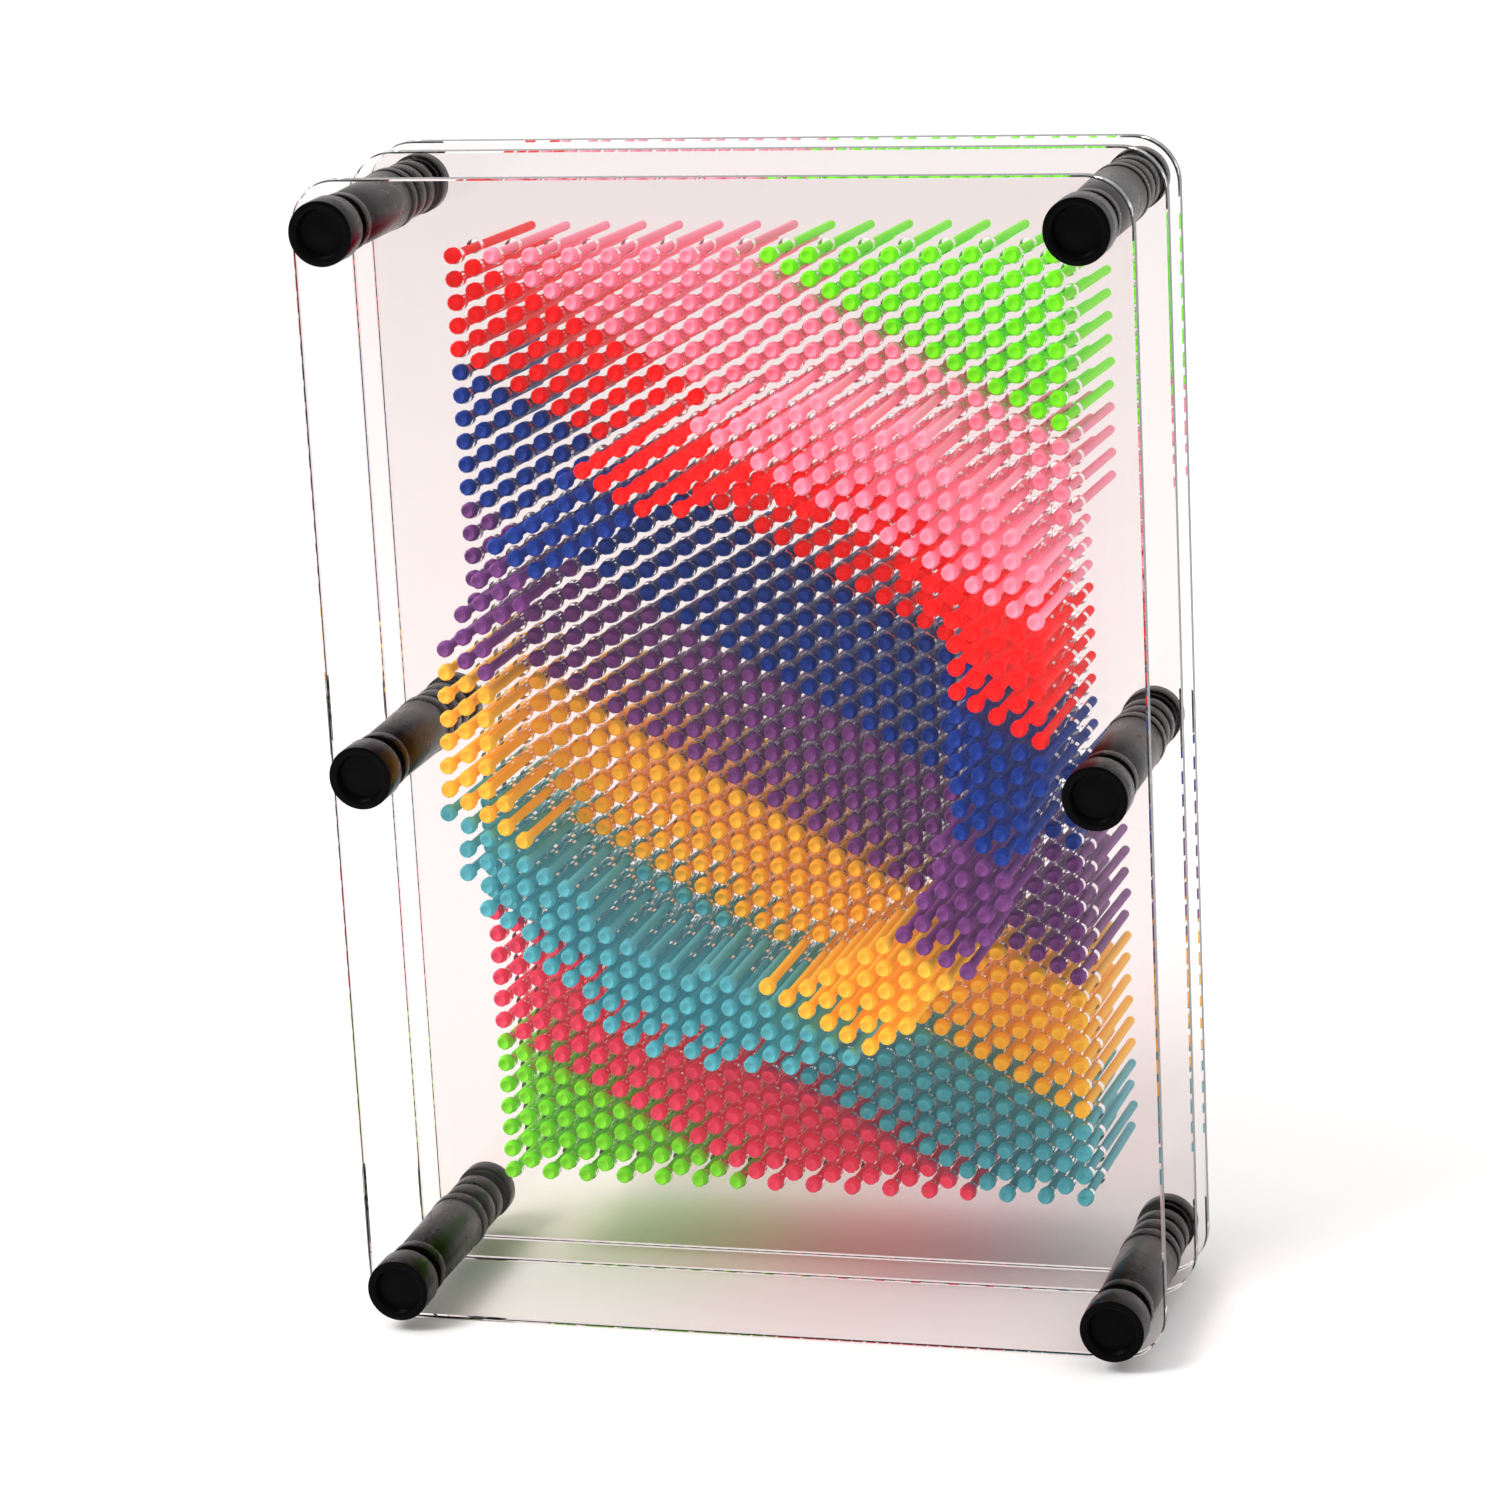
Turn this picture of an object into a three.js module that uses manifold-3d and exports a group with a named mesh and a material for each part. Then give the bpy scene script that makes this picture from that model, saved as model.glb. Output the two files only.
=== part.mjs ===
// A pin art impression toy: three clear plates stand on edge, joined by six black posts.
// The front plate is a plain cover. The two behind it are guide plates full of holes, and coloured
// pins slide through both, so that a shape pressed into the tips stands out behind the cover.
// Millimetres. +Z is up, -Y is the front, and the origin is under the middle of the whole toy.

import * as THREE from "three";
import { mergeVertices } from "three/addons/utils/BufferGeometryUtils.js";
import Module from "manifold-3d";

const wasm = await Module();
wasm.setup();

// Plates. Depths are measured back from the cover's front face.
const plateWidth = 141;
const plateHeight = 200;
const plateThickness = 2.5;
const plateCornerRadius = 8;
const plateCornerSegments = 6;
const coverDepth = 0;
const frontGuideDepth = 28.5;
const rearGuideDepth = 39.5;

// Posts: a front cap and a rear cap, whose stems plug into the spacers' bores.
const gap = 0.3;
const postInset = 7.7;
const capRadius = 5.5;
const capLength = 6.7;
const capRecessRadius = 3.9;
const capRecessDepth = 0.9;
const capGrooveRadius = 4.7;
const capGrooveWidth = 0.8;
const rearCapRadius = 5.1;
const rearCapLength = 4.5;
const spacerRadius = 5.2;
const shortSpacerRadius = 4.8;
const boreRadius = 2.6;
const stemRadius = boreRadius - gap;
const frontStemEnd = 11;
const rearStemEnd = 18;
const roundSides = 16;

// Pins. Column 0 is the leftmost; even columns hold a pin on every whole row, odd columns on every half.
const columnCount = 31;
const columnPitch = 3.456;
const rowPitch = 4.011;
const topRow = 41;
const headRadius = 1.4;
const headLength = 2.2;
const shaftRadius = 0.8;
const pinLength = 46.2;
const pinHoleRadius = 1.25;
const pinHoleSides = 16;
const pinSides = 8;
const droopDegrees = 3; // a pin at rest sinks at the back, as far as its loose holes let it

// Colour bands run down to the right: a pin's rank is its row plus half its column.
const bands = [
  { name: "green", lastRank: 6, colour: 0x73cd3c },
  { name: "crimson", lastRank: 12, colour: 0xd73c5a },
  { name: "teal", lastRank: 18, colour: 0x4696a5 },
  { name: "orange", lastRank: 24, colour: 0xfaa532 },
  { name: "purple", lastRank: 30, colour: 0x73417d },
  { name: "blue", lastRank: 36, colour: 0x123273 },
  { name: "red", lastRank: 41, colour: 0xe11919 },
  { name: "pink", lastRank: 48, colour: 0xfa8ca0 },
  { name: "lime", lastRank: 56, colour: 0x82eb28 },
];

// The lowest and highest ranks are single pins. All others are in banks, which slide as one: a bank is
// neighbouring pins of one colour that are all raised or all flat. Its web stands for their heads and
// its ribs for the shafts of each column, with as much plastic.
const firstBankRank = 2;
const lastBankRank = 55;
const webThickness = 0.8;
const webHalfWidth = 1.56;
const webMargin = 1.25;
const webLeastJoin = 0.1;
const ribThickness = 0.5;
const ribRoot = 0.2;
const slotWidth = 1.1;
const slotMargin = 2.2;
const gridSteps = 64; // in a millimetre
const cutterSpare = 2;

// The impression that the pins hold: a closed, slightly three-cornered ring that is wider at two sides.
// Its pins touch the cover, apart from the left, where it is shallower.
const ring = {
  x: -1.4,
  z: 104.9,
  inside: 40.8,
  corner: 2.4,
  cornerAngle: 147,
  wide: 15.1,
  widerRight: 2.7,
  wider: 3.2,
  widerAngle: 119,
  lift: 29.4,
  liftRight: 11,
  liftDiagonal: 3.1,
};

const toyFront = -gap - capLength;
const headBack = frontGuideDepth - gap;
const headFront = headBack - headLength;
const toyBack = headFront + pinLength;
const travel = headFront - coverDepth - plateThickness - gap;
const guideMiddle = (frontGuideDepth + rearGuideDepth + plateThickness) / 2;

const clear = new THREE.MeshStandardMaterial({
  color: 0xf2eeee,
  roughness: 0.08,
  metalness: 0,
  transparent: true,
  opacity: 0.3,
});
const black = new THREE.MeshStandardMaterial({ color: 0x101010, roughness: 0.32, metalness: 0 });

const columnX = (column) => (column - (columnCount - 1) / 2) * columnPitch;
const rowZ = (row) => plateHeight / 2 + (row - topRow / 2) * rowPitch;

// How far the pin at x, z is pushed towards the cover.
function pushAt(x, z) {
  const angle = Math.atan2(z - ring.z, x - ring.x);
  const corner = Math.cos(3 * angle - THREE.MathUtils.degToRad(ring.cornerAngle));
  const wider = Math.cos(2 * angle - THREE.MathUtils.degToRad(ring.widerAngle));
  const inside = ring.inside + ring.corner * corner;
  const wide = ring.wide + ring.widerRight * Math.cos(angle) + ring.wider * wider;
  const reach = Math.hypot(x - ring.x, z - ring.z);
  if (reach <= inside || reach >= inside + wide) return 0;
  const lift = ring.lift + ring.liftRight * Math.cos(angle) + ring.liftDiagonal * Math.sin(2 * angle);
  return Math.min(lift, travel);
}

function toSolid(geometry) {
  const bare = geometry.clone();
  bare.deleteAttribute("normal");
  bare.deleteAttribute("uv");
  const merged = mergeVertices(bare, 1e-4);
  const vertProperties = new Float32Array(merged.attributes.position.array);
  const triVerts = new Uint32Array(merged.index.array);
  return new wasm.Manifold(new wasm.Mesh({ numProp: 3, vertProperties, triVerts }));
}

function toGeometry(solid) {
  const mesh = solid.getMesh();
  const geometry = new THREE.BufferGeometry();
  geometry.setAttribute("position", new THREE.BufferAttribute(mesh.vertProperties, 3));
  geometry.setIndex(new THREE.BufferAttribute(mesh.triVerts, 1));
  geometry.computeVertexNormals();
  return geometry;
}

// An outline in X and Z, drawn out along Y from depth to depth + thickness.
function drawnOut(outline, depth, thickness) {
  const settings = { depth: thickness, bevelEnabled: false, curveSegments: plateCornerSegments };
  const geometry = new THREE.ExtrudeGeometry(outline, settings);
  geometry.rotateX(Math.PI / 2);
  geometry.translate(0, depth + thickness, 0);
  return geometry;
}

function addMesh(group, name, geometry, material) {
  const mesh = new THREE.Mesh(geometry, material);
  mesh.name = name;
  group.add(mesh);
  return mesh;
}

// Plates

function plateOutline() {
  const right = plateWidth / 2;
  const radius = plateCornerRadius;
  const outline = new THREE.Shape();
  outline.moveTo(-right + radius, 0);
  outline.absarc(right - radius, radius, radius, -Math.PI / 2, 0);
  outline.absarc(right - radius, plateHeight - radius, radius, 0, Math.PI / 2);
  outline.absarc(-right + radius, plateHeight - radius, radius, Math.PI / 2, Math.PI);
  outline.absarc(-right + radius, radius, radius, Math.PI, Math.PI * 1.5);
  return outline;
}

function roundCutter(x, z, radius, sides, depth) {
  const cutter = new THREE.CylinderGeometry(radius, radius, plateThickness + cutterSpare, sides);
  return toSolid(cutter.translate(x, depth + plateThickness / 2, z));
}

function slotCutter(x, low, high, depth) {
  const cutter = new THREE.BoxGeometry(slotWidth, plateThickness + cutterSpare, high - low);
  return toSolid(cutter.translate(x, depth + plateThickness / 2, (low + high) / 2));
}

const postX = plateWidth / 2 - postInset;
const postHeights = { top: plateHeight - postInset, middle: plateHeight / 2, bottom: postInset };
const posts = [];
for (const [row, z] of Object.entries(postHeights)) {
  posts.push({ place: `${row}_left`, x: -postX, z });
  posts.push({ place: `${row}_right`, x: postX, z });
}

const pins = [];
for (let column = 0; column < columnCount; column++) {
  const first = (column % 2) / 2;
  for (let row = first; row <= topRow - first; row++) {
    const rank = row + column / 2;
    const band = bands.find((candidate) => rank <= candidate.lastRank);
    const push = pushAt(columnX(column), rowZ(row));
    pins.push({ column, row, rank, band, push, x: columnX(column), z: rowZ(row) });
  }
}
const isSingle = (pin) => pin.rank < firstBankRank || pin.rank > lastBankRank;
const singlePins = pins.filter(isSingle);
const bankPins = pins.filter((pin) => !isSingle(pin));

// A plate standing behind depth, with its six post holes.
function plate(depth) {
  let solid = toSolid(drawnOut(plateOutline(), depth, plateThickness));
  for (const post of posts) {
    solid = solid.subtract(roundCutter(post.x, post.z, boreRadius, roundSides, depth));
  }
  return solid;
}

function guidePlate(depth) {
  let solid = plate(depth);
  for (const pin of singlePins) {
    solid = solid.subtract(roundCutter(pin.x, pin.z, pinHoleRadius, pinHoleSides, depth));
  }
  for (let column = 0; column < columnCount; column++) {
    const heights = bankPins.filter((pin) => pin.column === column).map((pin) => pin.z);
    const low = Math.min(...heights) - slotMargin;
    const high = Math.max(...heights) + slotMargin;
    solid = solid.subtract(slotCutter(columnX(column), low, high, depth));
  }
  return toGeometry(solid);
}

// Posts, turned about Y. A profile lists radius and depth, and closes on itself or on the axis.

function turned(profile, sides = roundSides) {
  return new THREE.LatheGeometry(profile.map(([radius, depth]) => new THREE.Vector2(radius, depth)), sides);
}

function frontCap() {
  const back = coverDepth - gap;
  const front = toyFront;
  const groove = back - capGrooveWidth;
  return turned([
    [0, front + capRecessDepth],
    [capRecessRadius, front + capRecessDepth],
    [capRecessRadius, front],
    [capRadius, front],
    [capRadius, groove],
    [capGrooveRadius, groove],
    [capGrooveRadius, back],
    [stemRadius, back],
    [stemRadius, frontStemEnd],
    [0, frontStemEnd],
  ]);
}

function spacer(radius, front, back) {
  return turned([
    [boreRadius, front],
    [radius, front],
    [radius, back],
    [boreRadius, back],
    [boreRadius, front],
  ]);
}

function rearCap() {
  const front = rearGuideDepth + plateThickness + gap;
  return turned([
    [0, rearStemEnd],
    [stemRadius, rearStemEnd],
    [stemRadius, front],
    [rearCapRadius, front],
    [rearCapRadius, front + rearCapLength],
    [0, front + rearCapLength],
  ]);
}

function addPosts(group) {
  const coverBack = coverDepth + plateThickness + gap;
  const frontGuideBack = frontGuideDepth + plateThickness + gap;
  for (const post of posts) {
    const pieces = {
      front_cap: frontCap(),
      long_spacer: spacer(spacerRadius, coverBack, frontGuideDepth - gap),
      short_spacer: spacer(shortSpacerRadius, frontGuideBack, rearGuideDepth - gap),
      rear_cap: rearCap(),
    };
    for (const [piece, geometry] of Object.entries(pieces)) {
      const mesh = addMesh(group, `${piece}_${post.place}`, geometry, black);
      mesh.position.set(post.x, 0, post.z);
    }
  }
}

// Pins

function addSinglePins(group) {
  const geometry = turned(
    [
      [0, headFront],
      [headRadius, headFront],
      [headRadius, headBack],
      [shaftRadius, headBack],
      [shaftRadius, toyBack],
      [0, toyBack],
    ],
    pinSides,
  );
  geometry.translate(0, -guideMiddle, 0);
  const counts = {};
  for (const pin of singlePins) {
    const colour = pin.band.name;
    counts[colour] = (counts[colour] ?? 0) + 1;
    const mesh = addMesh(group, `${colour}_pin_${counts[colour]}`, geometry, pinMaterial(pin.band));
    mesh.position.set(pin.x, guideMiddle, pin.z);
    mesh.rotation.x = THREE.MathUtils.degToRad(-droopDegrees);
  }
}

function pinMaterial(band) {
  return new THREE.MeshStandardMaterial({ color: band.colour, roughness: 0.35, metalness: 0 });
}

function isSameBank(pin, other) {
  return pin.band === other.band && pin.push > 0 === other.push > 0;
}

function isNeighbour(pin, other) {
  const columns = Math.abs(pin.column - other.column);
  const rows = Math.abs(pin.row - other.row);
  return (columns === 0 && rows === 1) || (columns === 1 && rows === 0.5);
}

function findBanks() {
  const banks = [];
  const waiting = new Set(bankPins);
  for (const seed of bankPins) {
    if (!waiting.delete(seed)) continue;
    const members = [seed];
    for (const member of members) {
      for (const pin of waiting) {
        if (!isNeighbour(member, pin) || !isSameBank(member, pin)) continue;
        waiting.delete(pin);
        members.push(pin);
      }
    }
    banks.push(members);
  }
  return banks;
}

// A bank's name says its colour, whether it is raised, and where it is.
function bankName(members) {
  const meanX = members.reduce((sum, pin) => sum + pin.x, 0) / members.length;
  const third = (columnCount * columnPitch) / 6;
  const place = meanX < -third ? "left" : meanX > third ? "right" : "middle";
  const state = members[0].push > 0 ? "raised" : "flat";
  return `${members[0].band.name}_${state}_pins_${place}`;
}

// The unbroken runs of a bank's pins in each column, from their lowest pin to their highest.
function runsOf(members) {
  const runs = [];
  const ordered = [...members].sort((a, b) => a.column - b.column || a.row - b.row);
  for (const pin of ordered) {
    const last = runs[runs.length - 1];
    if (last && last.column === pin.column && last.highRow === pin.row - 1) {
      last.highRow = pin.row;
      last.high = pin.z;
      last.pushes.push(pin.push);
    } else {
      const { column, row, x, z, push } = pin;
      runs.push({ column, x, highRow: row, low: z, high: z, pushes: [push] });
    }
  }
  return runs;
}

// A box between two corners, on a grid that 32-bit numbers hold exactly, so that boxes join flush.
function block(...sides) {
  const [left, right, front, back, low, high] = sides.map((side) => Math.round(side * gridSteps) / gridSteps);
  const geometry = new THREE.BoxGeometry(right - left, back - front, high - low);
  return toSolid(geometry.translate((left + right) / 2, (front + back) / 2, (low + high) / 2));
}

function bank(members) {
  const front = headFront - Math.max(...members.map((pin) => pin.push));
  const webBack = front + webThickness;
  const runs = runsOf(members);
  const blocks = [];
  for (const run of runs) {
    const [webLow, webHigh] = [run.low - webMargin, run.high + webMargin];
    blocks.push(block(run.x - webHalfWidth, run.x + webHalfWidth, front, webBack, webLow, webHigh));
    const meanPush = run.pushes.reduce((sum, push) => sum + push, 0) / run.pushes.length;
    const [ribLeft, ribRight] = [run.x - ribThickness / 2, run.x + ribThickness / 2];
    const [ribLow, ribHigh] = [run.low - shaftRadius, run.high + shaftRadius];
    blocks.push(block(ribLeft, ribRight, webBack - ribRoot, toyBack - meanPush, ribLow, ribHigh));
    for (const next of runs) {
      const low = Math.max(run.low, next.low) - webMargin;
      const high = Math.min(run.high, next.high) + webMargin;
      if (next.column !== run.column + 1 || high - low < webLeastJoin) continue;
      blocks.push(block(run.x, next.x, front, webBack, low, high));
    }
  }
  return toGeometry(blocks.reduce((whole, piece) => whole.add(piece)));
}

function addBanks(group) {
  for (const members of findBanks()) {
    addMesh(group, bankName(members), bank(members), pinMaterial(members[0].band));
  }
}

const assembly = new THREE.Group();
addMesh(assembly, "cover_plate", toGeometry(plate(coverDepth)), clear);
addMesh(assembly, "front_guide_plate", guidePlate(frontGuideDepth), clear);
addMesh(assembly, "rear_guide_plate", guidePlate(rearGuideDepth), clear);
addPosts(assembly);
addSinglePins(assembly);
addBanks(assembly);
assembly.position.y = -(toyFront + toyBack) / 2;

const toy = new THREE.Group();
toy.add(assembly);

export default toy;
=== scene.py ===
import math
import random

import bpy
from mathutils import Matrix, Vector


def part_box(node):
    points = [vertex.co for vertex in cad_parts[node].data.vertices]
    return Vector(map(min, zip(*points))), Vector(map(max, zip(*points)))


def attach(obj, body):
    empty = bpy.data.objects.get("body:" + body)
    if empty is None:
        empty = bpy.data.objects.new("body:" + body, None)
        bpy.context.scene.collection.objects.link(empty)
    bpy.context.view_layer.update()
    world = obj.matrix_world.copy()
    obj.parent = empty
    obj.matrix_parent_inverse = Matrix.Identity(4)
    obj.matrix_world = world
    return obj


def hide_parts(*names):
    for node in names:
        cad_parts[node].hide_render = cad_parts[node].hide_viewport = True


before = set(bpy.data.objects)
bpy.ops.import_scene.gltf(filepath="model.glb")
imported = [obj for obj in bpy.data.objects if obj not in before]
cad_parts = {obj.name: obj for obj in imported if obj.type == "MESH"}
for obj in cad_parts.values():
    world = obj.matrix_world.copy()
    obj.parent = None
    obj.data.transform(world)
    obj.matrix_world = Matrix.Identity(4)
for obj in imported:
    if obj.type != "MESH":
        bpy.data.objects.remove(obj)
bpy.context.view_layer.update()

# Lengths are in millimetres and become metres where they are used, except in the studio.
# Angles are in degrees.
mm = 0.001
mergeDistance = 0.001
alike = 1e-6  # two coordinates, in metres, that are closer than this count as the same
dice = random.Random(23)


def deselect():
    bpy.ops.object.select_all(action="DESELECT")


def pick(piece):
    deselect()
    piece.select_set(True)
    bpy.context.view_layer.objects.active = piece


def editEdges(piece, wanted):
    # goes into edit mode with only the wanted edges selected
    pick(piece)
    bpy.ops.object.mode_set(mode="EDIT")
    bpy.ops.mesh.select_mode(type="EDGE")
    bpy.ops.mesh.select_all(action="DESELECT")
    bpy.ops.object.mode_set(mode="OBJECT")
    points = piece.data.vertices
    for edge in piece.data.edges:
        edge.select = wanted(points[edge.vertices[0]].co, points[edge.vertices[1]].co)
    bpy.ops.object.mode_set(mode="EDIT")


def apply(piece, modifier):
    pick(piece)
    bpy.ops.object.modifier_apply(modifier=modifier.name)


def turnPiece(name, profile, sides):
    # a round piece lying front to back: a ring is pulled along y, and widened or narrowed at each step
    deselect()
    depth, radius = profile[0]
    isClosed = profile[0] == profile[-1]
    bpy.ops.mesh.primitive_circle_add(
        vertices=sides,
        radius=radius * mm,
        fill_type="NOTHING" if isClosed else "NGON",
        location=(0, depth * mm, 0),
        rotation=(math.radians(90), 0, 0),
    )
    piece = bpy.context.object
    piece.name = name
    bpy.ops.object.transform_apply()
    bpy.ops.object.mode_set(mode="EDIT")
    bpy.ops.mesh.select_all(action="SELECT")
    for nextDepth, nextRadius in profile[1:]:
        bpy.ops.mesh.extrude_region_move(
            TRANSFORM_OT_translate={"value": (0, (nextDepth - depth) * mm, 0)}
        )
        grow = nextRadius / radius
        bpy.ops.transform.resize(value=(grow, 1, grow), center_override=(0, nextDepth * mm, 0))
        depth, radius = nextDepth, nextRadius
    bpy.ops.mesh.select_all(action="SELECT")
    bpy.ops.mesh.remove_doubles(threshold=mergeDistance * mm)
    bpy.ops.mesh.normals_make_consistent(inside=False)
    bpy.ops.object.mode_set(mode="OBJECT")
    return piece


def smoothUnder(piece, degrees):
    pick(piece)
    bpy.ops.object.shade_smooth_by_angle(angle=math.radians(degrees))


def copyOf(model, name, place):
    # a copy with its own mesh, already in its place
    copy = model.copy()
    copy.data = model.data.copy()
    copy.name = name
    copy.data.transform(place)
    bpy.context.collection.objects.link(copy)
    return copy


def join(pieces, name):
    deselect()
    for piece in pieces:
        piece.select_set(True)
    bpy.context.view_layer.objects.active = pieces[0]
    if len(pieces) > 1:
        bpy.ops.object.join()
    whole = bpy.context.view_layer.objects.active
    whole.name = name
    whole.data.name = name
    return whole


def finishPiece(piece, body, nodes, material):
    piece.data.materials.clear()
    piece.data.materials.append(material)
    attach(piece, body)
    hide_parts(*nodes)


print("materials")


def newMaterial(name):
    material = bpy.data.materials.new(name)
    material.use_nodes = True
    nodes = material.node_tree.nodes
    return material, nodes, material.node_tree.links, nodes["Principled BSDF"]


noiseMiddle = (0.3, 0.7)  # noise seldom leaves this stretch, so it is what gets spread out


def addNoise(nodes, links, place, scale, detail):
    noise = nodes.new("ShaderNodeTexNoise")
    noise.inputs["Scale"].default_value = scale
    noise.inputs["Detail"].default_value = detail
    links.new(place, noise.inputs["Vector"])
    return noise.outputs["Fac"]


def addBump(nodes, links, shader, height, strength, distance):
    bump = nodes.new("ShaderNodeBump")
    bump.inputs["Strength"].default_value = strength
    bump.inputs["Distance"].default_value = distance * mm
    links.new(height, bump.inputs["Height"])
    links.new(bump.outputs["Normal"], shader.inputs["Normal"])


def addRoughness(nodes, links, shader, noise, smoothest, roughest):
    rough = nodes.new("ShaderNodeMapRange")
    rough.inputs["From Min"].default_value = noiseMiddle[0]
    rough.inputs["From Max"].default_value = noiseMiddle[1]
    rough.inputs["To Min"].default_value = smoothest
    rough.inputs["To Max"].default_value = roughest
    links.new(noise, rough.inputs["Value"])
    links.new(rough.outputs["Result"], shader.inputs["Roughness"])


acrylic = {
    "colour": (0.91, 0.876, 0.872, 1),
    "glare": (0.3, 0.3, 0.3, 1),
    "ior": 1.49,
    "waviness": 0.03,
    "waveScale": 55,
    "waveDetail": 1,
    "waveHeight": 0.1,
}


def clearAcrylic():
    material, nodes, links, shader = newMaterial("clear acrylic")
    shader.inputs["Base Color"].default_value = acrylic["colour"]
    shader.inputs["Roughness"].default_value = 0
    shader.inputs["IOR"].default_value = acrylic["ior"]
    shader.inputs["Specular Tint"].default_value = acrylic["glare"]
    shader.inputs["Transmission Weight"].default_value = 1
    # the sheet is cast, so its faces are very slightly wavy
    place = nodes.new("ShaderNodeTexCoord").outputs["Object"]
    waves = addNoise(nodes, links, place, acrylic["waveScale"], acrylic["waveDetail"])
    addBump(nodes, links, shader, waves, acrylic["waviness"], acrylic["waveHeight"])
    # lamps and bounced light pass straight through
    path = nodes.new("ShaderNodeLightPath")
    clear = nodes.new("ShaderNodeBsdfTransparent")
    clear.inputs["Color"].default_value = acrylic["colour"]
    forLamps = nodes.new("ShaderNodeMixShader")
    forBounces = nodes.new("ShaderNodeMixShader")
    links.new(path.outputs["Is Shadow Ray"], forLamps.inputs[0])
    links.new(shader.outputs[0], forLamps.inputs[1])
    links.new(clear.outputs[0], forLamps.inputs[2])
    links.new(path.outputs["Is Diffuse Ray"], forBounces.inputs[0])
    links.new(forLamps.outputs[0], forBounces.inputs[1])
    links.new(clear.outputs[0], forBounces.inputs[2])
    links.new(forBounces.outputs[0], nodes["Material Output"].inputs["Surface"])
    return material


blackPlastic = {
    "colour": (0.003, 0.003, 0.0035, 1),
    "roughness": (0.24, 0.32),
    "specular": 0.36,
    "faceSpecular": 0.06,
    "turningScale": 2600,
    "turningDetail": 2,
    "turningStretch": 0.02,
    "handlingScale": 160,
    "handlingDetail": 5,
    "bump": 0.05,
    "bumpHeight": 0.05,
}


def satinBlack(name, specular):
    material, nodes, links, shader = newMaterial(name)
    shader.inputs["Base Color"].default_value = blackPlastic["colour"]
    shader.inputs["Specular IOR Level"].default_value = specular
    place = nodes.new("ShaderNodeTexCoord").outputs["Object"]
    # fine turning marks run round each post, so they change quickly along y only
    along = nodes.new("ShaderNodeMapping")
    stretch = blackPlastic["turningStretch"]
    along.inputs["Scale"].default_value = (stretch, 1, stretch)
    links.new(place, along.inputs["Vector"])
    turning = (blackPlastic["turningScale"], blackPlastic["turningDetail"])
    marks = addNoise(nodes, links, along.outputs["Vector"], *turning)
    addBump(nodes, links, shader, marks, blackPlastic["bump"], blackPlastic["bumpHeight"])
    # hands leave some places smoother than others
    handling = addNoise(nodes, links, place, blackPlastic["handlingScale"], blackPlastic["handlingDetail"])
    addRoughness(nodes, links, shader, handling, *blackPlastic["roughness"])
    return material


# What each colour of pin is moulded from.
pinColours = {
    "green": (140, 230, 56),
    "crimson": (244, 80, 110),
    "teal": (94, 178, 188),
    "orange": (255, 194, 68),
    "purple": (124, 70, 136),
    "blue": (10, 60, 150),
    "red": (246, 14, 16),
    "pink": (255, 156, 178),
    "lime": (130, 248, 22),
}
pinPlastic = {
    "roughness": (0.38, 0.55),
    "specular": 0.12,
    "ior": 1.5,
    "spread": 0.16,
    "lift": 0.004,
    "toneAndPaintedLightWeight": 0.7,
    "mottleWeight": 0.3,
    "mottleScale": 420,
    "mottleDetail": 3,
    "bump": 0.05,
    "bumpHeight": 0.05,
    # painted light: how strongly the pins glow in their own colour, in place of light through the plastic
    "paintedGlow": 0.15,
}


def linear(value):
    # from a screen's 0 to 255 to the amount of light
    share = value / 255
    return share / 12.92 if share <= 0.04045 else ((share + 0.055) / 1.055) ** 2.4


def mouldedPlastic(colour):
    material, nodes, links, shader = newMaterial(colour + " moulded plastic")
    shader.inputs["IOR"].default_value = pinPlastic["ior"]
    shader.inputs["Specular IOR Level"].default_value = pinPlastic["specular"]
    place = nodes.new("ShaderNodeTexCoord").outputs["Object"]
    mottle = addNoise(nodes, links, place, pinPlastic["mottleScale"], pinPlastic["mottleDetail"])
    # every pin carries a tone of its own, at random; a raised pin's tone is also lifted as painted light,
    # so that it looks brighter than the flat pins, which are left in painted shade
    toneAndPaintedLight = nodes.new("ShaderNodeAttribute")
    toneAndPaintedLight.attribute_name = "toneAndPaintedLight"
    weakMottle = nodes.new("ShaderNodeMath")
    weakMottle.operation = "MULTIPLY"
    weakMottle.inputs[1].default_value = pinPlastic["mottleWeight"]
    links.new(mottle, weakMottle.inputs[0])
    both = nodes.new("ShaderNodeMath")
    both.operation = "MULTIPLY_ADD"
    both.inputs[1].default_value = pinPlastic["toneAndPaintedLightWeight"]
    links.new(toneAndPaintedLight.outputs["Fac"], both.inputs[0])
    links.new(weakMottle.outputs[0], both.inputs[2])
    shades = nodes.new("ShaderNodeMix")
    shades.data_type = "RGBA"
    share, dark, bright = shades.inputs[0], shades.inputs[6], shades.inputs[7]
    base = [linear(value) for value in pinColours[colour]]
    spread, lift = pinPlastic["spread"], pinPlastic["lift"]
    dark.default_value = (*[value * (1 - spread) for value in base], 1)
    bright.default_value = (*[min(value * (1 + spread) + lift, 1) for value in base], 1)
    links.new(both.outputs[0], share)
    links.new(shades.outputs[2], shader.inputs["Base Color"])
    # painted light: each pin glows faintly in its own colour, standing in for light that passes through
    # the translucent plastic, so that the crowded shafts are never quite dark
    links.new(shades.outputs[2], shader.inputs["Emission Color"])
    shader.inputs["Emission Strength"].default_value = pinPlastic["paintedGlow"]
    addRoughness(nodes, links, shader, mottle, *pinPlastic["roughness"])
    addBump(nodes, links, shader, mottle, pinPlastic["bump"], pinPlastic["bumpHeight"])
    return material


acrylicSheet = clearAcrylic()
postBlack = satinBlack("satin black plastic", blackPlastic["specular"])
capFaceBlack = satinBlack("matt black cap face", blackPlastic["faceSpecular"])
pinMaterials = {colour: mouldedPlastic(colour) for colour in pinColours}

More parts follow.
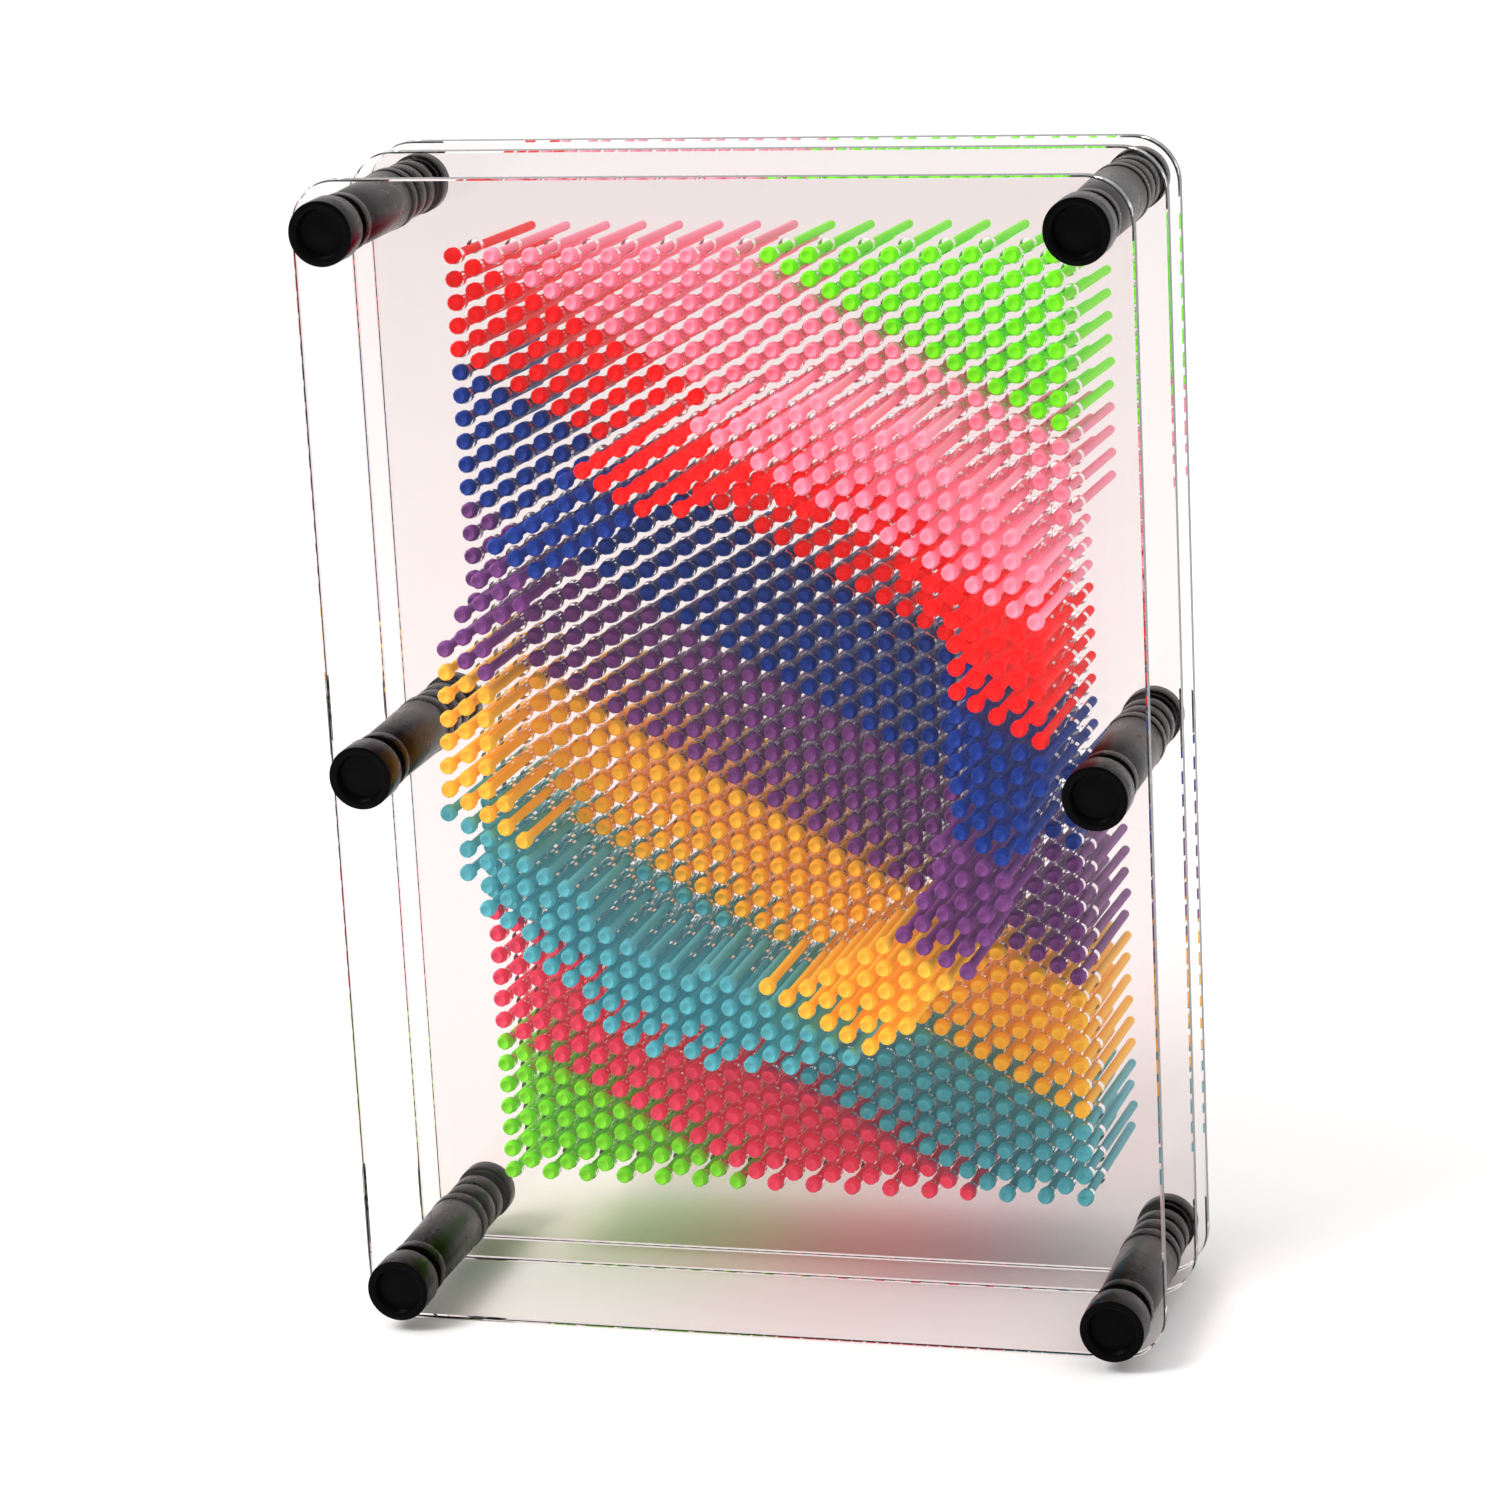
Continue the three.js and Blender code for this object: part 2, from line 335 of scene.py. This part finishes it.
print("plates")
plates = {
    "cornerRadius": 8,
    "cornerSteps": 14,
    "rimEase": 0.25,
    "pinHoleRadius": 1.3,
    "pinHoleSides": 16,
    "postHoleRadius": 2.6,
    "postHoleSides": 32,
    "smoothAngle": 38,  # below 45, so that the flat faces stay optically flat right up to their eased rims
}
posts = [f"{row}_{side}" for row in ("top", "middle", "bottom") for side in ("left", "right")]


def postPlace(post):
    low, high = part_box("front_cap_" + post)
    return Vector(((low.x + high.x) / 2, 0, (low.z + high.z) / 2))


def isCornerEdge(a, b):
    return abs(a.x - b.x) < alike and abs(a.z - b.z) < alike


def isRimEdge(a, b):
    return abs(a.y - b.y) < alike


def makePlate(name, node):
    low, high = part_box(node)
    middle = (low + high) / 2
    deselect()
    bpy.ops.mesh.primitive_cube_add(size=1, location=middle)
    plate = bpy.context.object
    plate.name = name
    plate.scale = high - low
    bpy.ops.object.transform_apply()
    editEdges(plate, isCornerEdge)
    bpy.ops.mesh.bevel(offset=plates["cornerRadius"] * mm, segments=plates["cornerSteps"], affect="EDGES")
    bpy.ops.object.mode_set(mode="OBJECT")
    # the sawn rim is flame polished, which eases its edges
    editEdges(plate, isRimEdge)
    bpy.ops.mesh.bevel(offset=plates["rimEase"] * mm, segments=1, affect="EDGES")
    bpy.ops.object.mode_set(mode="OBJECT")
    return plate


def drillRod(radius, sides, depth, length):
    deselect()
    bpy.ops.mesh.primitive_cylinder_add(
        vertices=sides,
        radius=radius * mm,
        depth=length,
        location=(0, depth, 0),
        rotation=(math.radians(90), 0, 0),
    )
    bpy.ops.object.transform_apply()
    return bpy.context.object


def drill(plate, places, radius, sides):
    # one rod for each hole, twice as long as the plate is thick, all cut away at once
    depths = [point.co.y for point in plate.data.vertices]
    front, back = min(depths), max(depths)
    rod = drillRod(radius, sides, (back + front) / 2, 2 * (back - front))
    rods = join([copyOf(rod, "drill", Matrix.Translation(place)) for place in places], "drills")
    cut = plate.modifiers.new("holes", "BOOLEAN")
    cut.operation = "DIFFERENCE"
    cut.solver = "MANIFOLD"
    cut.object = rods
    apply(plate, cut)
    bpy.data.objects.remove(rods)
    bpy.data.objects.remove(rod)


# Pins. Column 0 is the leftmost; even columns hold a pin on every whole row, odd columns on every half.
pins = {
    "columns": 31,
    "columnPitch": 3.456,
    "rowPitch": 4.011,
    "topRow": 41,
    "headRadius": 1.4,
    "headLength": 2.2,
    "shaftRadius": 0.8,
    "length": 46.2,
    "gap": 0.3,
    "sides": 10,
    "tipLength": 0.4,
    "tipShare": 0.6,
    "headEase": 0.75,
    "headFaceShare": 0.72,
    "dimpleDepth": 0.55,
    "dimpleShare": 0.28,
    "smoothAngle": 62,
    "droop": 3,
    "climb": 1,
    "wobble": 0.08,
    "sway": 0.45,
    "toneSpread": 0.4,
    # painted light: added to a raised pin's tone, so that raised pins look brighter than flat ones
    "raisedPaintedLight": 0.6,
}
# A pin's rank is its row and half its column, and each colour goes up to its last rank. The pins in
# bankRanks slide in banks of one colour, and the few below and above them slide on their own.
lastRanks = {
    "green": 6,
    "crimson": 12,
    "teal": 18,
    "orange": 24,
    "purple": 30,
    "blue": 36,
    "red": 41,
    "pink": 48,
    "lime": 56,
}
bankRanks = (2, 55)

# The impression that the pins hold, as in the part: a three-cornered ring that is wider at two sides.
ring = {
    "x": -1.4,
    "z": 104.9,
    "inside": 40.8,
    "corner": 2.4,
    "cornerAngle": 147,
    "wide": 15.1,
    "widerRight": 2.7,
    "wider": 3.2,
    "widerAngle": 119,
    "lift": 29.4,
    "liftRight": 11,
    "liftDiagonal": 3.1,
}

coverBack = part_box("cover_plate")[1].y / mm
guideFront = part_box("front_guide_plate")[0].y / mm
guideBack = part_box("rear_guide_plate")[1].y / mm
plateMiddle = sum(corner.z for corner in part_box("front_guide_plate")) / 2 / mm
guideMiddle = (guideFront + guideBack) / 2
headBack = guideFront - pins["gap"]
headFront = headBack - pins["headLength"]
travel = headFront - coverBack - pins["gap"]


def pushAt(x, z):
    # how far the pin at x and z stands forward
    angle = math.atan2(z - ring["z"], x - ring["x"])
    inside = ring["inside"] + ring["corner"] * math.cos(3 * angle - math.radians(ring["cornerAngle"]))
    wide = ring["wide"] + ring["widerRight"] * math.cos(angle)
    wide += ring["wider"] * math.cos(2 * angle - math.radians(ring["widerAngle"]))
    reach = math.hypot(x - ring["x"], z - ring["z"])
    if reach <= inside or reach >= inside + wide:
        return 0
    lift = ring["lift"] + ring["liftRight"] * math.cos(angle)
    return min(lift + ring["liftDiagonal"] * math.sin(2 * angle), travel)


def allPins():
    found = []
    for column in range(pins["columns"]):
        shift = column % 2 / 2
        x = (column - (pins["columns"] - 1) / 2) * pins["columnPitch"]
        for step in range(pins["topRow"] + 1 - column % 2):
            row = step + shift
            z = plateMiddle + (row - pins["topRow"] / 2) * pins["rowPitch"]
            rank = row + column / 2
            colour = next(name for name, last in lastRanks.items() if rank <= last)
            pin = {"column": column, "row": row, "rank": rank, "colour": colour}
            found.append({**pin, "x": x, "z": z, "push": pushAt(x, z)})
    return found


everyPin = allPins()
pinPlaces = [Vector((pin["x"] * mm, 0, pin["z"] * mm)) for pin in everyPin]
postPlaces = [postPlace(post) for post in posts]

for name, node, drilled in (
    ("clear_cover", "cover_plate", False),
    ("front_drilled_guide", "front_guide_plate", True),
    ("rear_drilled_guide", "rear_guide_plate", True),
):
    plate = makePlate(name, node)
    drill(plate, postPlaces, plates["postHoleRadius"], plates["postHoleSides"])
    if drilled:
        drill(plate, pinPlaces, plates["pinHoleRadius"], plates["pinHoleSides"])
    smoothUnder(plate, plates["smoothAngle"])
    finishPiece(plate, "frame", [node], acrylicSheet)
    print(" ", name, len(plate.data.polygons), "faces")

print("posts")
turned = {
    "sides": 48,
    "bevel": 0.25,
    "bevelSegments": 2,
    "bevelAngle": 35,
    "stemRadius": 2.3,
    "boreRadius": 2.6,
}
frontCap = {
    "recessRadius": 4.1,
    "recessDepth": 1.6,
    "recessTaper": 0.25,
    "floorRadius": 1.7,
    "floorRise": 0.25,
    "grooveRadius": 4.75,
    "grooveWidth": 0.8,
    "facesFront": -0.5,  # faces whose normals point further along -y than this get the duller black
}
# A drop is how far a radius stays below the post's own.
spacers = {
    "collarLength": 2.4,
    "collarDrop": 0.15,
    "waistDrop": 0.35,
    "taperDrop": 0.1,
    "grooveDrop": 0.6,
    "grooveWidth": 0.5,
    "shortGrooveWidth": 0.8,
}
rearCap = {
    "dishRadius": 0.8,
    "dishDepth": 0.5,
    "dishEdgeDrop": 1.2,
    "dishEdgeDepth": 0.35,
    "rimInsideDrop": 0.9,
    "rimOutsideDrop": 0.3,
    "rimLength": 0.6,
    "shoulderLength": 0.9,
    "shoulderDrop": 0.5,
}


def ends(node):
    # front, back and radius of a round node that lies front to back
    low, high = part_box(node)
    return low.y / mm, high.y / mm, (high.x - low.x) / 2 / mm


def frontCapModel():
    front, stemEnd, radius = ends("front_cap_top_left")
    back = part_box("cover_plate")[0].y / mm - pins["gap"]
    groove = back - frontCap["grooveWidth"]
    floor = front + frontCap["recessDepth"]
    return turnPiece(
        "front cap",
        [
            (stemEnd, turned["stemRadius"]),
            (back, turned["stemRadius"]),
            (back, frontCap["grooveRadius"]),
            (groove, frontCap["grooveRadius"]),
            (groove, radius),
            (front, radius),
            (front, frontCap["recessRadius"]),
            (floor, frontCap["recessRadius"] - frontCap["recessTaper"]),
            (floor - frontCap["floorRise"], frontCap["floorRadius"]),
        ],
        turned["sides"],
    )


def spacerModel(name, node, outside):
    front, back, radius = ends(node)
    bore = turned["boreRadius"]
    profile = [(back, bore), (front, bore), *outside(front, back, radius), (back, bore)]
    return turnPiece(name, profile, turned["sides"])


def longOutside(front, back, radius):
    # a collar, a groove, a waist that widens to the back, and again a groove and a collar
    collar = radius - spacers["collarDrop"]
    groove = radius - spacers["grooveDrop"]
    grooveStart = front + spacers["collarLength"]
    grooveEnd = grooveStart + spacers["grooveWidth"]
    backGrooveEnd = back - spacers["collarLength"]
    backGrooveStart = backGrooveEnd - spacers["grooveWidth"]
    return [
        (front, collar),
        (grooveStart, collar),
        (grooveStart, groove),
        (grooveEnd, groove),
        (grooveEnd, radius - spacers["waistDrop"]),
        (backGrooveStart, radius - spacers["taperDrop"]),
        (backGrooveStart, groove),
        (backGrooveEnd, groove),
        (backGrooveEnd, radius),
        (back, radius),
    ]


def shortOutside(front, back, radius):
    groove = radius - spacers["grooveDrop"]
    middle = (front + back) / 2
    half = spacers["shortGrooveWidth"] / 2
    return [
        (front, radius),
        (middle - half, radius),
        (middle - half, groove),
        (middle + half, groove),
        (middle + half, radius),
        (back, radius),
    ]


def rearCapModel():
    stemFront, back, radius = ends("rear_cap_top_left")
    front = guideBack + pins["gap"]
    shoulder = radius - rearCap["shoulderDrop"]
    return turnPiece(
        "rear cap",
        [
            (back - rearCap["dishDepth"], rearCap["dishRadius"]),
            (back - rearCap["dishEdgeDepth"], radius - rearCap["dishEdgeDrop"]),
            (back, radius - rearCap["rimInsideDrop"]),
            (back, radius - rearCap["rimOutsideDrop"]),
            (back - rearCap["rimLength"], radius),
            (front + rearCap["shoulderLength"], radius),
            (front + rearCap["shoulderLength"], shoulder),
            (front, shoulder),
            (front, turned["stemRadius"]),
            (stemFront, turned["stemRadius"]),
        ],
        turned["sides"],
    )


def blackenFront(cap):
    # the face and recess of a front cap are duller than its turned side
    cap.data.materials.append(capFaceBlack)
    for face in cap.data.polygons:
        face.material_index = int(face.normal.y < frontCap["facesFront"])


postModels = {
    "front_cap": frontCapModel(),
    "long_spacer": spacerModel("long spacer", "long_spacer_top_left", longOutside),
    "short_spacer": spacerModel("short spacer", "short_spacer_top_left", shortOutside),
    "rear_cap": rearCapModel(),
}
for node, model in postModels.items():
    bevel = model.modifiers.new("eased edges", "BEVEL")
    bevel.width = turned["bevel"] * mm
    bevel.segments = turned["bevelSegments"]
    bevel.limit_method = "ANGLE"
    bevel.angle_limit = math.radians(turned["bevelAngle"])
    apply(model, bevel)
    smoothUnder(model, turned["bevelAngle"])
    for post in posts:
        piece = copyOf(model, f"turned_{node}_{post}", Matrix.Translation(postPlace(post)))
        finishPiece(piece, "frame", [f"{node}_{post}"], postBlack)
        if node == "front_cap":
            blackenFront(piece)
    bpy.data.objects.remove(model)

print("pins")


def pinModel():
    head, shaft = pins["headRadius"], pins["shaftRadius"]
    tip = headFront + pins["length"]
    return turnPiece(
        "pin",
        [
            (tip, shaft * pins["tipShare"]),
            (tip - pins["tipLength"], shaft),
            (headBack, shaft),
            (headBack, head),
            (headFront + pins["headEase"], head),
            (headFront, head * pins["headFaceShare"]),
            (headFront + pins["dimpleDepth"], head * pins["dimpleShare"]),
        ],
        pins["sides"],
    )


def isSameBank(pin, other):
    return pin["colour"] == other["colour"] and (pin["push"] > 0) == (other["push"] > 0)


def findBanks():
    # neighbouring pins of one colour that are all raised or all flat slide together
    lowest, highest = bankRanks
    waiting = {(pin["column"], pin["row"]): pin for pin in everyPin if lowest <= pin["rank"] <= highest}
    banks = []
    while waiting:
        seed = waiting.pop(next(iter(waiting)))
        members = [seed]
        for member in members:
            column, row = member["column"], member["row"]
            around = [(column, row - 1), (column, row + 1)]
            around += [(column + side, row + half) for side in (-1, 1) for half in (-0.5, 0.5)]
            for place in around:
                if place in waiting and isSameBank(seed, waiting[place]):
                    members.append(waiting.pop(place))
        banks.append(members)
    return banks


def bankNode(members):
    meanX = sum(pin["x"] for pin in members) / len(members)
    third = pins["columns"] * pins["columnPitch"] / 6
    place = "left" if meanX < -third else "right" if meanX > third else "middle"
    state = "raised" if members[0]["push"] > 0 else "flat"
    return f"{members[0]['colour']}_{state}_pins_{place}"


def pinMatrix(pin):
    # a flat pin sinks at the back and a raised one climbs a little to the front, about the guides' middle
    pivot = Matrix.Translation((0, guideMiddle * mm, 0))
    lean = pins["climb"] if pin["push"] > 0 else pins["droop"]
    lean += dice.uniform(-pins["wobble"], pins["wobble"])
    sway = dice.uniform(-pins["sway"], pins["sway"])
    turn = Matrix.Rotation(math.radians(-lean), 4, "X") @ Matrix.Rotation(math.radians(sway), 4, "Z")
    roll = Matrix.Rotation(dice.uniform(0, math.pi), 4, "Y")
    slide = Matrix.Translation((0, -pin["push"] * mm, 0))
    place = Matrix.Translation((pin["x"] * mm, 0, pin["z"] * mm))
    return place @ pivot @ turn @ slide @ roll @ pivot.inverted()


def makePins(model, name, node, members):
    # one piece of many pins, each with its own lean and a random tone, which is lifted by painted light on
    # a raised pin
    copies = []
    for pin in members:
        copy = copyOf(model, "pin", pinMatrix(pin))
        toneAndPaintedLight = copy.data.attributes.new("toneAndPaintedLight", "FLOAT", "FACE")
        # a random tone, plus painted light that makes a raised pin brighter
        shade = pins["toneSpread"] * dice.random() + (pins["raisedPaintedLight"] if pin["push"] > 0 else 0)
        toneAndPaintedLight.data.foreach_set("value", [shade] * len(copy.data.polygons))
        copies.append(copy)
    piece = join(copies, name)
    colour = members[0]["colour"]
    finishPiece(piece, node, [node], pinMaterials[colour])


onePin = pinModel()
smoothUnder(onePin, pins["smoothAngle"])
banks = findBanks()
for members in banks:
    node = bankNode(members)
    makePins(onePin, "separate_" + node, node, members)
singleCounts = {}
for pin in everyPin:
    if bankRanks[0] <= pin["rank"] <= bankRanks[1]:
        continue
    colour = pin["colour"]
    singleCounts[colour] = singleCounts.get(colour, 0) + 1
    node = f"{colour}_pin_{singleCounts[colour]}"
    makePins(onePin, "moulded_" + node, node, [pin])
print(" ", len(banks), "banks,", len(everyPin), "pins of", len(onePin.data.polygons), "faces")
bpy.data.objects.remove(onePin)

print("studio")
# The studio's lengths are in metres, and its lens and sensor in millimetres.
studio = {
    "floorSize": 12,
    "floorDrop": 0.0002,
    "floorColour": (0.93, 0.93, 0.93, 1),
    "floorRoughness": 0.6,
    "skyStrength": 0.95,
    "frontShade": 0.15,
    "frontEdge": (-0.95, -0.5),  # the room brightens between these directions along y
    "keyPower": 7,
    "keySize": 0.4,
    "keyPlace": (-0.55, -0.6, 0.85),
    "sunPower": 0.3,
    "sunWidth": 60,
    "sunPlace": (-0.6, 0.5, 2),
    "azimuth": 16.08,
    "elevation": 15.64,
    "roll": -2.96,
    "distance": 0.8148,
    "target": (0.00354, -0.0326, 0.10473),
    "lens": 118.3,
    "sensor": 36,
    "nearest": 0.01,
}
lightPath = {"bounces": 24, "clearBounces": 48, "diffuseBounces": 8}


def layFloor():
    deselect()
    bpy.ops.mesh.primitive_plane_add(size=studio["floorSize"], location=(0, 0, -studio["floorDrop"]))
    floor = bpy.context.object
    floor.name = "pale_floor"
    material, nodes, links, shader = newMaterial("pale floor")
    shader.inputs["Base Color"].default_value = studio["floorColour"]
    shader.inputs["Roughness"].default_value = studio["floorRoughness"]
    floor.data.materials.append(material)


def hangLamp(kind, name, power, place):
    bpy.ops.object.light_add(type=kind, location=place)
    lamp = bpy.context.object
    lamp.name = name
    lamp.data.energy = power
    aim = Vector(studio["target"]) - Vector(place)
    lamp.rotation_euler = aim.to_track_quat("-Z", "Y").to_euler()
    return lamp.data


def hangLights():
    # a white room all round, dimmer in front, so that the posts stay black
    world = bpy.data.worlds.new("studio")
    world.use_nodes = True
    nodes, links = world.node_tree.nodes, world.node_tree.links
    look = nodes.new("ShaderNodeTexCoord")
    axes = nodes.new("ShaderNodeSeparateXYZ")
    shade = nodes.new("ShaderNodeMapRange")
    shade.interpolation_type = "SMOOTHSTEP"
    shade.inputs["From Min"].default_value = studio["frontEdge"][0]
    shade.inputs["From Max"].default_value = studio["frontEdge"][1]
    shade.inputs["To Min"].default_value = studio["frontShade"]
    shade.inputs["To Max"].default_value = studio["skyStrength"]
    links.new(look.outputs["Generated"], axes.inputs[0])
    links.new(axes.outputs["Y"], shade.inputs["Value"])
    links.new(shade.outputs["Result"], nodes["Background"].inputs["Strength"])
    nodes["Background"].inputs["Color"].default_value = (1, 1, 1, 1)
    bpy.context.scene.world = world
    hangLamp("AREA", "key", studio["keyPower"], studio["keyPlace"]).size = studio["keySize"]
    hangLamp("SUN", "sun", studio["sunPower"], studio["sunPlace"]).angle = math.radians(studio["sunWidth"])


def setCamera():
    turn, rise = math.radians(studio["azimuth"]), math.radians(studio["elevation"])
    back = Vector((math.sin(turn) * math.cos(rise), -math.cos(turn) * math.cos(rise), math.sin(rise)))
    right = Vector((math.cos(turn), math.sin(turn), 0))
    up = back.cross(right)
    roll = math.radians(studio["roll"])
    tiltedRight = math.cos(roll) * right + math.sin(roll) * up
    tiltedUp = math.cos(roll) * up - math.sin(roll) * right
    place = Vector(studio["target"]) + studio["distance"] * back
    axes = Matrix((tiltedRight, tiltedUp, back)).transposed()
    bpy.ops.object.camera_add()
    camera = bpy.context.object
    camera.matrix_world = Matrix.Translation(place) @ axes.to_4x4()
    camera.data.lens = studio["lens"]
    camera.data.sensor_width = studio["sensor"]
    camera.data.clip_start = studio["nearest"]
    bpy.context.scene.camera = camera


layFloor()
hangLights()
setCamera()
scene = bpy.context.scene
scene.view_settings.view_transform = "Standard"
scene.view_settings.look = "Medium High Contrast"
# light crosses up to six plate faces and many hole walls
scene.cycles.max_bounces = lightPath["bounces"]
scene.cycles.transmission_bounces = lightPath["bounces"]
scene.cycles.transparent_max_bounces = lightPath["clearBounces"]
scene.cycles.diffuse_bounces = lightPath["diffuseBounces"]
